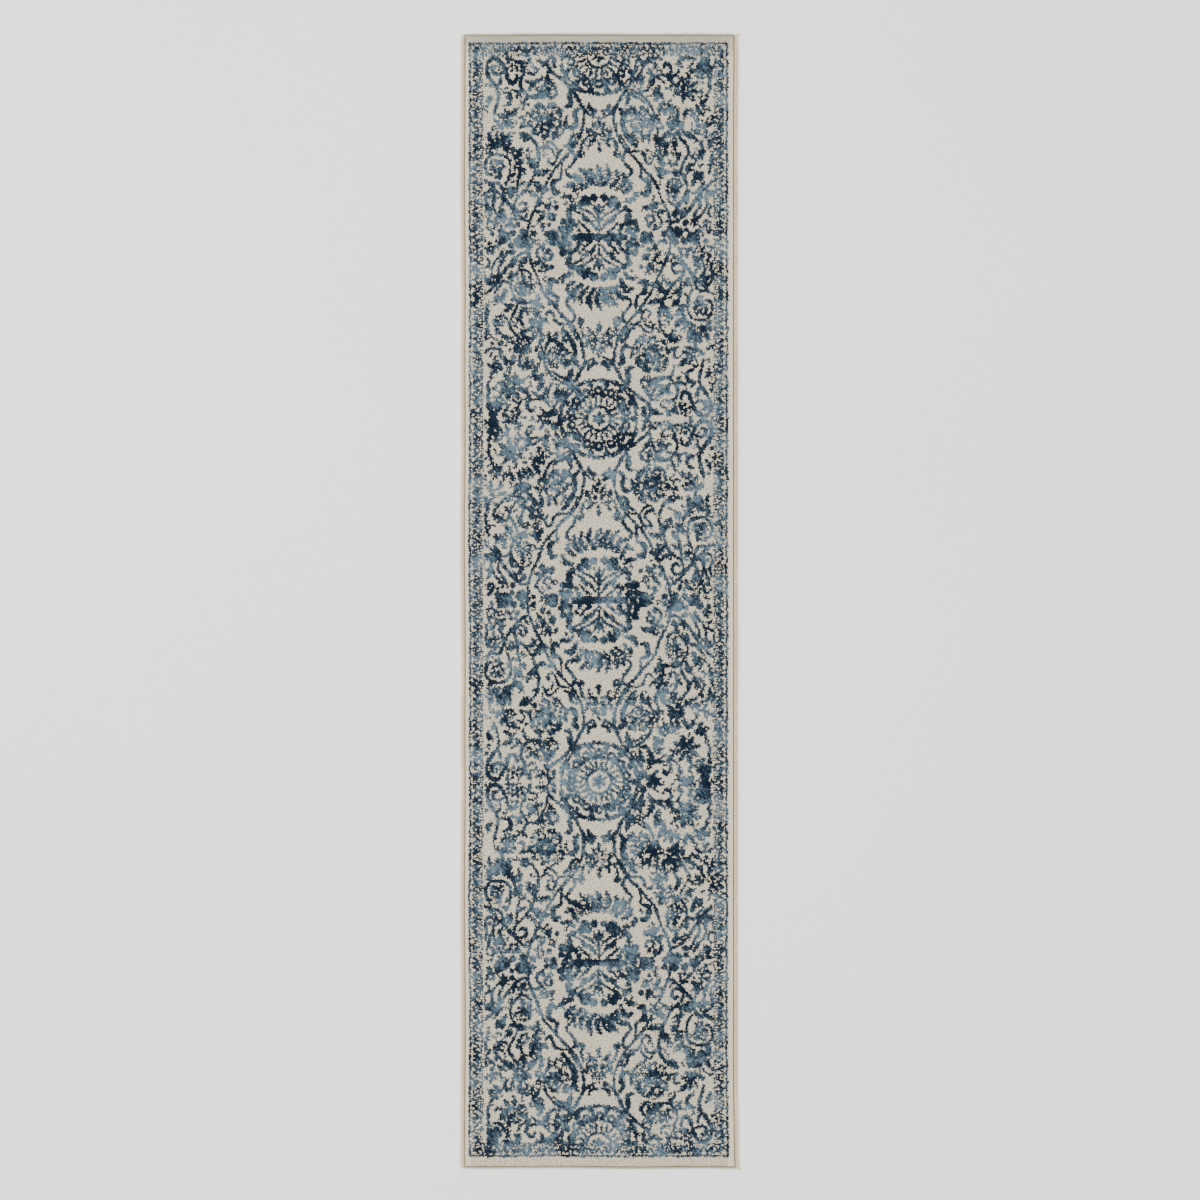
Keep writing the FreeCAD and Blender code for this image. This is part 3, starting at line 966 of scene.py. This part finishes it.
# A lone ivory tuft deep in the blue is filled, and tufts of one piece that meet only at a
# corner are joined by another beside them.
for (column, row), (piece, paler) in list(tufts.items()):
    for hole in ((column + 1, row), (column, row + 1)):
        around_it = [tufts.get((hole[0] + x, hole[1] + y)) for x, y in ((1, 0), (-1, 0), (0, 1), (0, -1))]
        if hole not in tufts and None not in around_it:
            tufts[hole] = piece, RIM_PALER
for _ in range(CORNER_PASSES):
    for (column, row), (piece, paler) in list(tufts.items()):
        for step in (-1, 1):
            corner, *beside = (tufts.get(place, (None,))[0] for place in
                               ((column + 1, row + step), (column + 1, row), (column, row + step)))
            if corner == piece and piece not in beside:
                tufts[column + 1, row] = piece, RIM_PALER

# ---------------------------------------------------------------------------------------
# Blue pile: the figure's tufts, in navy, slate and pale blue yarns that change over in
# uneven patches. They stand a little above the ivory, and their ends splay.
BLUE_TOP = IVORY_TOP + 0.45 * MM
BLUE_SEAT = IVORY_TOP - 0.6 * MM
SHEET_HALF = (256.0, 1080.0)
OUT_OF_TRUE = 0.7 * MM
USUAL_TONE = 0.41
HEART = 80.0
NEAR_HEART_PALER = 0.48
FAR_HEART_PALER = -0.35


def yarn_tone(column, row, paler):
    """0 for the darkest navy to 1 for the palest blue. The near rosette's heart is pale."""
    place = Vector((column, row, 0.0)) * TUFT_STEP
    from_rosette = (place.y - FIGURE_MIDDLE.y) % (2 * REPEAT) - REPEAT
    heart = max(0.0, 1.0 - math.hypot(place.x - FIGURE_MIDDLE.x, from_rosette) / HEART)
    paler += (NEAR_HEART_PALER if place.y < 0 else FAR_HEART_PALER) * min(0.5, heart)
    patch = noise.noise(place / 47.0) + 0.7 * noise.noise(place / 17.0 + Vector((9, 0, 0)))
    hatch = noise.noise(Vector(((place.x + place.y) / 4.6, (place.x - place.y) / 12.0, 4.0)))
    tuft = noise.cell(Vector((column + 0.5, row + 0.5, 8.5)))
    return min(1.0, max(0.0, USUAL_TONE + paler + 0.62 * patch + 0.42 * hatch + 0.2 * tuft))


def all_tufts():
    """A sheet with one face to each blue tuft, marked with its piece and its yarn."""
    bm = bmesh.new()
    columns, rows = (2 * math.ceil(half / TUFT_STEP) for half in SHEET_HALF)
    bmesh.ops.create_grid(bm, x_segments=columns, y_segments=rows, size=0.5)
    bmesh.ops.scale(bm, vec=(columns * TUFT_STEP * MM, rows * TUFT_STEP * MM, 1.0), verts=bm.verts)
    bmesh.ops.translate(bm, vec=(0.0, 0.0, BLUE_SEAT), verts=bm.verts)
    yarn = bm.faces.layers.float.new("yarn")
    bare = []
    for face in bm.faces:
        middle = face.calc_center_median() / MM / TUFT_STEP
        column, row = math.floor(middle.x), math.floor(middle.y)
        if (column, row) not in tufts:
            bare.append(face)
            continue
        piece, paler = tufts[column, row]
        end = "far_" if row >= 0 else "near_"
        face.material_index = blue_pieces.index(end + piece)
        face[yarn] = yarn_tone(column, row, paler)
    bmesh.ops.delete(bm, geom=bare, context="FACES")
    for vert in bm.verts:
        place = Vector((vert.co.x, vert.co.y, 0.0)) / (2.1 * MM)
        vert.co += noise.noise_vector(place) * Vector((1, 1, 0)) * OUT_OF_TRUE
    return bm


def blue_material():
    m = Nodes("blue figure pile", Roughness=0.95, Sheen_Weight=0.04, Sheen_Roughness=0.5,
              Specular_IOR_Level=0.06)
    yarn = m.add("ShaderNodeAttribute", attribute_type="GEOMETRY", attribute_name="yarn")
    height = pile_height_map(m)
    mottle = m.times(m.sum(m.cloud(1.6 * MM, 2.0), 0.5, "SUBTRACT"), 0.3)
    # The tone carries painted light and shade from the relief as well as the yarn's own tone.
    tone = m.sum(m.sum(yarn.outputs["Fac"], mottle), painted_relief_light_and_shade(m, height, 0.55))
    colour = m.ramp(tone, (0.12, (0.004, 0.011, 0.024)), (0.32, (0.013, 0.023, 0.037)),
                    (0.46, (0.038, 0.06, 0.084)), (0.62, (0.075, 0.117, 0.147)),
                    (0.9, (0.135, 0.19, 0.228)))
    return m.finish(colour, height, 1.1 * MM, 0.8)


blue_pieces = [end + kind + "_tufts" for end in ("near_", "far_")
               for kind in ("stem", "leaf", "bud", "flower", "medallion", "border")]
blue_yarn = blue_material()
whole_figure = all_tufts()
for index, name in enumerate(blue_pieces):
    bm = whole_figure.copy()
    others = [face for face in bm.faces if face.material_index != index]
    bmesh.ops.delete(bm, geom=others, context="FACES")
    raised = bmesh.ops.extrude_face_region(bm, geom=bm.faces[:])
    for vert in raised["geom"]:
        if isinstance(vert, bmesh.types.BMVert):
            vert.co.z = BLUE_TOP + 0.15 * MM * noise.noise(vert.co / (2.9 * MM))
    bmesh.ops.recalc_face_normals(bm, faces=bm.faces)
    for face in bm.faces:
        face.material_index = 0
    lay_flat_map(bm)
    finish_piece(name, bm, blue_yarn, "pile_yarn", "pile")
whole_figure.free()

# ---------------------------------------------------------------------------------------
# Side serging: thick soft yarn wound over each selvage and its filler cord, turn beside
# turn, by an overcasting machine. Every turn goes down through the foundation just inside
# the bead, and that row of holes is the darker groove beside the pile.
TURN_POINTS = 9
SQUEEZED = 1.12         # how far each turn is pressed into its neighbours
LOOSE = (0.95, 1.06)


def yarn_curve(name, thick):
    """An empty curve that is a round yarn of this thickness, with closed ends."""
    curve = bpy.data.curves.new(name, "CURVE")
    curve.dimensions = "3D"
    curve.bevel_depth = thick / 2
    curve.bevel_resolution = 1
    curve.use_fill_caps = True
    return curve


def finish_yarn(curve, material, slot, node):
    """Make the curve a mesh, close its ends, and finish it as a piece."""
    name = curve.name
    holder = bpy.data.objects.new(name + "_curve", curve)
    bpy.context.scene.collection.objects.link(holder)
    graph = bpy.context.evaluated_depsgraph_get()
    mesh = bpy.data.meshes.new_from_object(holder.evaluated_get(graph))
    bpy.data.objects.remove(holder)
    bpy.data.curves.remove(curve)
    bm = bmesh.new()
    bm.from_mesh(mesh)
    bpy.data.meshes.remove(mesh)
    bmesh.ops.remove_doubles(bm, verts=bm.verts, dist=0.005 * MM)
    return finish_piece(name, bm, material, slot, node)


def twisted_yarn_material(name, pale, dark, pitch, along):
    """Plied yarn: slanting plies on each turn, with fuzz and a little shade between."""
    m = Nodes(name, Roughness=0.88, Sheen_Weight=0.25, Sheen_Roughness=0.5, Specular_IOR_Level=0.15)
    plies = m.waves("DIAGONAL", pitch, 1.5)
    fuzz = m.cloud(0.7 * MM, 3.0)
    drift = m.cloud(35 * MM, 2.0, stretch=along)
    tone = m.sum(m.times(plies, 0.35), m.times(drift, fuzz))
    colour = m.ramp(tone, (0.12, dark), (0.5, pale))
    return m.finish(colour, m.sum(plies, fuzz), 0.35 * MM, 0.7)


def wound_yarn(name, low, high, thick, pitch, material, slot, node, seed):
    """One long yarn wound round the box between two corners, along its longer side."""
    dice = random.Random(seed)
    size, middle = high - low, (high + low) / 2
    lengthways = size.y > size.x
    half_wide = (size.x if lengthways else size.y) / 2 - thick / 2
    half_high = size.z / 2 - thick / 2
    length = size.y if lengthways else size.x
    turns = int((length - thick) / pitch)
    curve = yarn_curve(name, thick * SQUEEZED)
    spline = curve.splines.new("POLY")
    spline.points.add(turns * TURN_POINTS)
    loose = 1.0
    for i, point in enumerate(spline.points):
        if i % TURN_POINTS == 0:
            loose = dice.uniform(*LOOSE)
        turn = i / TURN_POINTS
        closing = min(1.0, 0.62 + 0.13 * min(turn, turns - turn))
        angle = turn * math.tau
        across = half_wide * loose * closing * math.cos(angle)
        up = middle.z + half_high * closing * loose * math.sin(angle)
        along = -length / 2 + thick / 2 + turn * pitch
        x, y = (across, along) if lengthways else (along, across)
        point.co = (middle.x + x, middle.y + y, max(up, low.z + thick * 0.6), 1.0)
        point.radius = dice.uniform(0.92, 1.05)
    return finish_yarn(curve, material, slot, node)


SIDE_YARN = 2.5 * MM
SIDE_PITCH = 2.45 * MM
side_yarn = twisted_yarn_material("serging yarn", (0.83, 0.69, 0.47), (0.6, 0.47, 0.31), 1.1 * MM,
                                  (1.0, 0.4, 1.0))
for side, seed in (("left", 3), ("right", 4)):
    node = side + "_side_serging"
    low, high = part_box(node)
    wound_yarn(side + "_serging_yarn", low, high, SIDE_YARN, SIDE_PITCH,
                               side_yarn, "serging_yarn", node, seed)

# ---------------------------------------------------------------------------------------
# Filler cords: soft three-ply cotton cords laid along each selvage, hidden inside the
# serging, which give the bead its roundness.
PLIES = 3
PLY_SHARE = 0.23        # a ply's half thickness, as a share of the whole cord
LAY = 14 * MM


def laid_cord(name, low, high, node):
    """Plies laid round one another from end to end of the box between two corners."""
    size, middle = high - low, (high + low) / 2
    ply = size.x * PLY_SHARE
    curve = yarn_curve(name, ply * 2)
    steps = int(size.y / LAY * 6)
    for strand in range(PLIES):
        spline = curve.splines.new("POLY")
        spline.points.add(steps)
        for i, point in enumerate(spline.points):
            along = -size.y / 2 + size.y * i / steps
            angle = along / LAY * math.tau + strand * math.tau / PLIES
            reach = size.x / 2 - ply
            point.co = (middle.x + reach * math.cos(angle), middle.y + along,
                        middle.z + reach * math.sin(angle), 1.0)
    finish_yarn(curve, cotton, "cord_yarn", node)


cotton = twisted_yarn_material("cotton cord", (0.7, 0.64, 0.52), (0.45, 0.38, 0.28), 0.9 * MM,
                               (1.0, 0.3, 1.0))
for side in ("left", "right"):
    low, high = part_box(side + "_selvage_cord")
    laid_cord(side + "_filler_cord", low, high, side + "_selvage_cord")

# ---------------------------------------------------------------------------------------
# End serging: a finer tan yarn overlocked across both cut ends, so that the weft can't
# ravel. It runs from side bead to side bead.
END_YARN = 1.5 * MM
END_PITCH = 1.5 * MM
end_yarn = twisted_yarn_material("end yarn", (0.64, 0.54, 0.38), (0.44, 0.35, 0.23), 0.8 * MM,
                                 (0.4, 1.0, 1.0))
for end, seed in (("near", 5), ("far", 6)):
    node = end + "_end_serging"
    low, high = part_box(node)
    wound_yarn(end + "_overlock_yarn", low, high, END_YARN, END_PITCH,
                               end_yarn, "end_yarn", node, seed)

# ---------------------------------------------------------------------------------------
# Thread tails: where each right-hand bead starts and stops, the last of its yarn is
# knotted off and cut, and a short bent end stays out at the corner.
TAIL = 2.2 * MM
for end, way in (("near", -1), ("far", 1)):
    low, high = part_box("right_side_serging")
    corner = Vector((high.x, high.y if way > 0 else low.y, low.z + TAIL))
    curve = yarn_curve(end + "_thread_tail", TAIL)
    spline = curve.splines.new("NURBS")
    bends = ((-5, -9, 2.5), (-2.5, -4, 4.3), (0.1, -0.8, 3.6), (1.6, 0.3, 1.8), (2.2, -1.6, 0.3),
             (1.4, -3.6, 0.1))
    spline.points.add(len(bends) - 1)
    for point, (out, past, up) in zip(spline.points, bends):
        point.co = (*(corner + Vector((out, past * way, up)) * MM), 1.0)
    spline.order_u = 3
    spline.use_endpoint_u = True
    spline.resolution_u = 4
    finish_yarn(curve, side_yarn, "serging_yarn", "right_side_serging")

# ---------------------------------------------------------------------------------------
# The room: a plain pale floor, a broad soft light overhead, and the camera straight
# above the rug, square to it and far enough off to show no perspective.
RUG_SHARE = 0.946
FLOOR_SIZE = 12.0
OVERHEAD = (0.0013, 0.0019, 5.0)

bpy.ops.mesh.primitive_plane_add(size=FLOOR_SIZE)
floor = bpy.context.object
floor.name = "floor"
floor_paint = Nodes("floor", Roughness=0.9, Specular_IOR_Level=0.1,
                    Emission_Color=(1.0, 1.0, 1.0, 1.0), Emission_Strength=0.3)
shade = floor_paint.ramp(floor_paint.cloud(0.8), (0.3, (0.93, 0.93, 0.93)), (0.7, (0.95, 0.95, 0.95)))
floor.data.materials.append(floor_paint.finish(shade))

world = bpy.data.worlds.new("soft room")
bpy.context.scene.world = world
world.use_nodes = True
daylight = world.node_tree.nodes["Background"].inputs
daylight["Color"].default_value = (1.0, 1.0, 1.0, 1.0)
daylight["Strength"].default_value = 1.3

light = bpy.data.lights.new("overhead", "AREA")
light.shape = "RECTANGLE"
light.size, light.size_y = 3.0, 4.0
light.energy = 100
lamp = bpy.data.objects.new("overhead", light)
lamp.location = (-1.6, 0.6, 3.2)
lamp.rotation_euler = (-lamp.location).to_track_quat("-Z", "Y").to_euler()
bpy.context.scene.collection.objects.link(lamp)

view = bpy.data.cameras.new("camera")
view.type = "ORTHO"
view.ortho_scale = (rug_high.y - rug_low.y) / RUG_SHARE
view.clip_end = 20.0
camera = bpy.data.objects.new("camera", view)
camera.location = OVERHEAD
bpy.context.scene.collection.objects.link(camera)
bpy.context.scene.camera = camera
